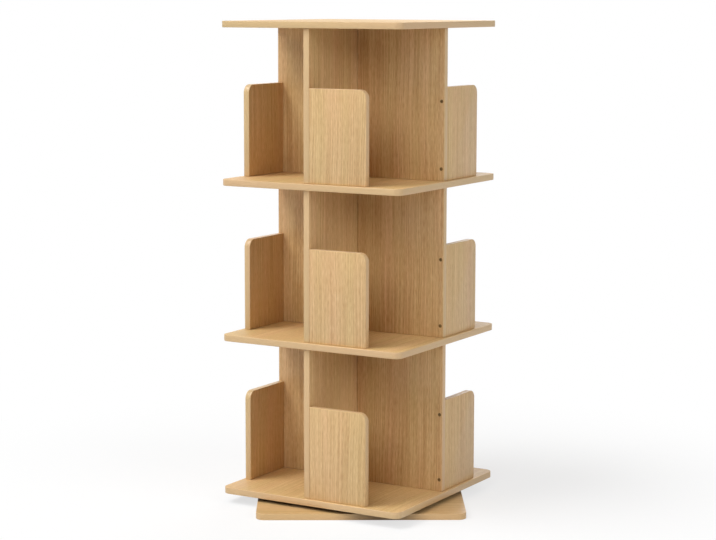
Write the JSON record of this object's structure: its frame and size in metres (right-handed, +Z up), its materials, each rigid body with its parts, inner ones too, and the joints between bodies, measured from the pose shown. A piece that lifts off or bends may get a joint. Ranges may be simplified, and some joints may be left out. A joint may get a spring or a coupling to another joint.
{
  "type": "revolving bookcase",
  "caption": "Free-standing revolving bookcase: open square tiers round a pinwheel of uprights with book stops, turning on a ball-bearing swivel over a square base board.",
  "frame": {"origin": "on the floor, on the axis that the stack turns about", "axes": "+Z up along the turning axis; X and Y along the sides of the shelves, with the front upright on -Y"},
  "size_m": [0.6522, 0.6522, 1.1395],
  "materials": {
    "shelf_oak": "satin light oak veneer",
    "upright_oak": "satin light oak veneer, grain upright",
    "stop_oak": "satin light oak veneer, grain upright",
    "base_oak": "satin light oak veneer",
    "screw_steel": "dark plated steel",
    "ring_metal": "turned aluminium",
    "ball_steel": "bright steel"
  },
  "bodies": {
    "base": {"base_board": "base_oak", "swivel_outer_ring": "ring_metal"},
    "carousel": {"swivel_inner_ring": "ring_metal", "bottom_shelf": "shelf_oak", "lower_shelf": "shelf_oak", "upper_shelf": "shelf_oak", "top_panel": "shelf_oak", "bottom_front_upright": "upright_oak", "bottom_right_upright": "upright_oak", "bottom_back_upright": "upright_oak", "bottom_left_upright": "upright_oak", "middle_front_upright": "upright_oak", "middle_right_upright": "upright_oak", "middle_back_upright": "upright_oak", "middle_left_upright": "upright_oak", "top_front_upright": "upright_oak", "top_right_upright": "upright_oak", "top_back_upright": "upright_oak", "top_left_upright": "upright_oak", "bottom_front_stop": "stop_oak", "bottom_right_stop": "stop_oak", "bottom_back_stop": "stop_oak", "bottom_left_stop": "stop_oak", "middle_front_stop": "stop_oak", "middle_right_stop": "stop_oak", "middle_back_stop": "stop_oak", "middle_left_stop": "stop_oak", "top_front_stop": "stop_oak", "top_right_stop": "stop_oak", "top_back_stop": "stop_oak", "top_left_stop": "stop_oak", "bottom_front_stop_screw_lower": "screw_steel", "bottom_front_stop_screw_upper": "screw_steel", "bottom_right_stop_screw_lower": "screw_steel", "bottom_right_stop_screw_upper": "screw_steel", "bottom_back_stop_screw_lower": "screw_steel", "bottom_back_stop_screw_upper": "screw_steel", "bottom_left_stop_screw_lower": "screw_steel", "bottom_left_stop_screw_upper": "screw_steel", "middle_front_stop_screw_lower": "screw_steel", "middle_front_stop_screw_upper": "screw_steel", "middle_right_stop_screw_lower": "screw_steel", "middle_right_stop_screw_upper": "screw_steel", "middle_back_stop_screw_lower": "screw_steel", "middle_back_stop_screw_upper": "screw_steel", "middle_left_stop_screw_lower": "screw_steel", "middle_left_stop_screw_upper": "screw_steel", "top_front_stop_screw_lower": "screw_steel", "top_front_stop_screw_upper": "screw_steel", "top_right_stop_screw_lower": "screw_steel", "top_right_stop_screw_upper": "screw_steel", "top_back_stop_screw_lower": "screw_steel", "top_back_stop_screw_upper": "screw_steel", "top_left_stop_screw_lower": "screw_steel", "top_left_stop_screw_upper": "screw_steel"},
    "ball_cage": {"swivel_ball_cage": "ball_steel"}
  },
  "joints": [
    {"name": "carousel_turn", "type": "hinge", "parent": "base", "child": "carousel", "pos_m": [0, 0, 0.0193], "axis": [0, 0, 1], "continuous": true},
    {"name": "cage_roll", "type": "hinge", "parent": "base", "child": "ball_cage", "pos_m": [0, 0, 0.0193], "axis": [0, 0, 1], "continuous": true}
  ],
  "couplings": [
    {"joint": "cage_roll", "follows": "carousel_turn", "ratio": 0.487}
  ]
}
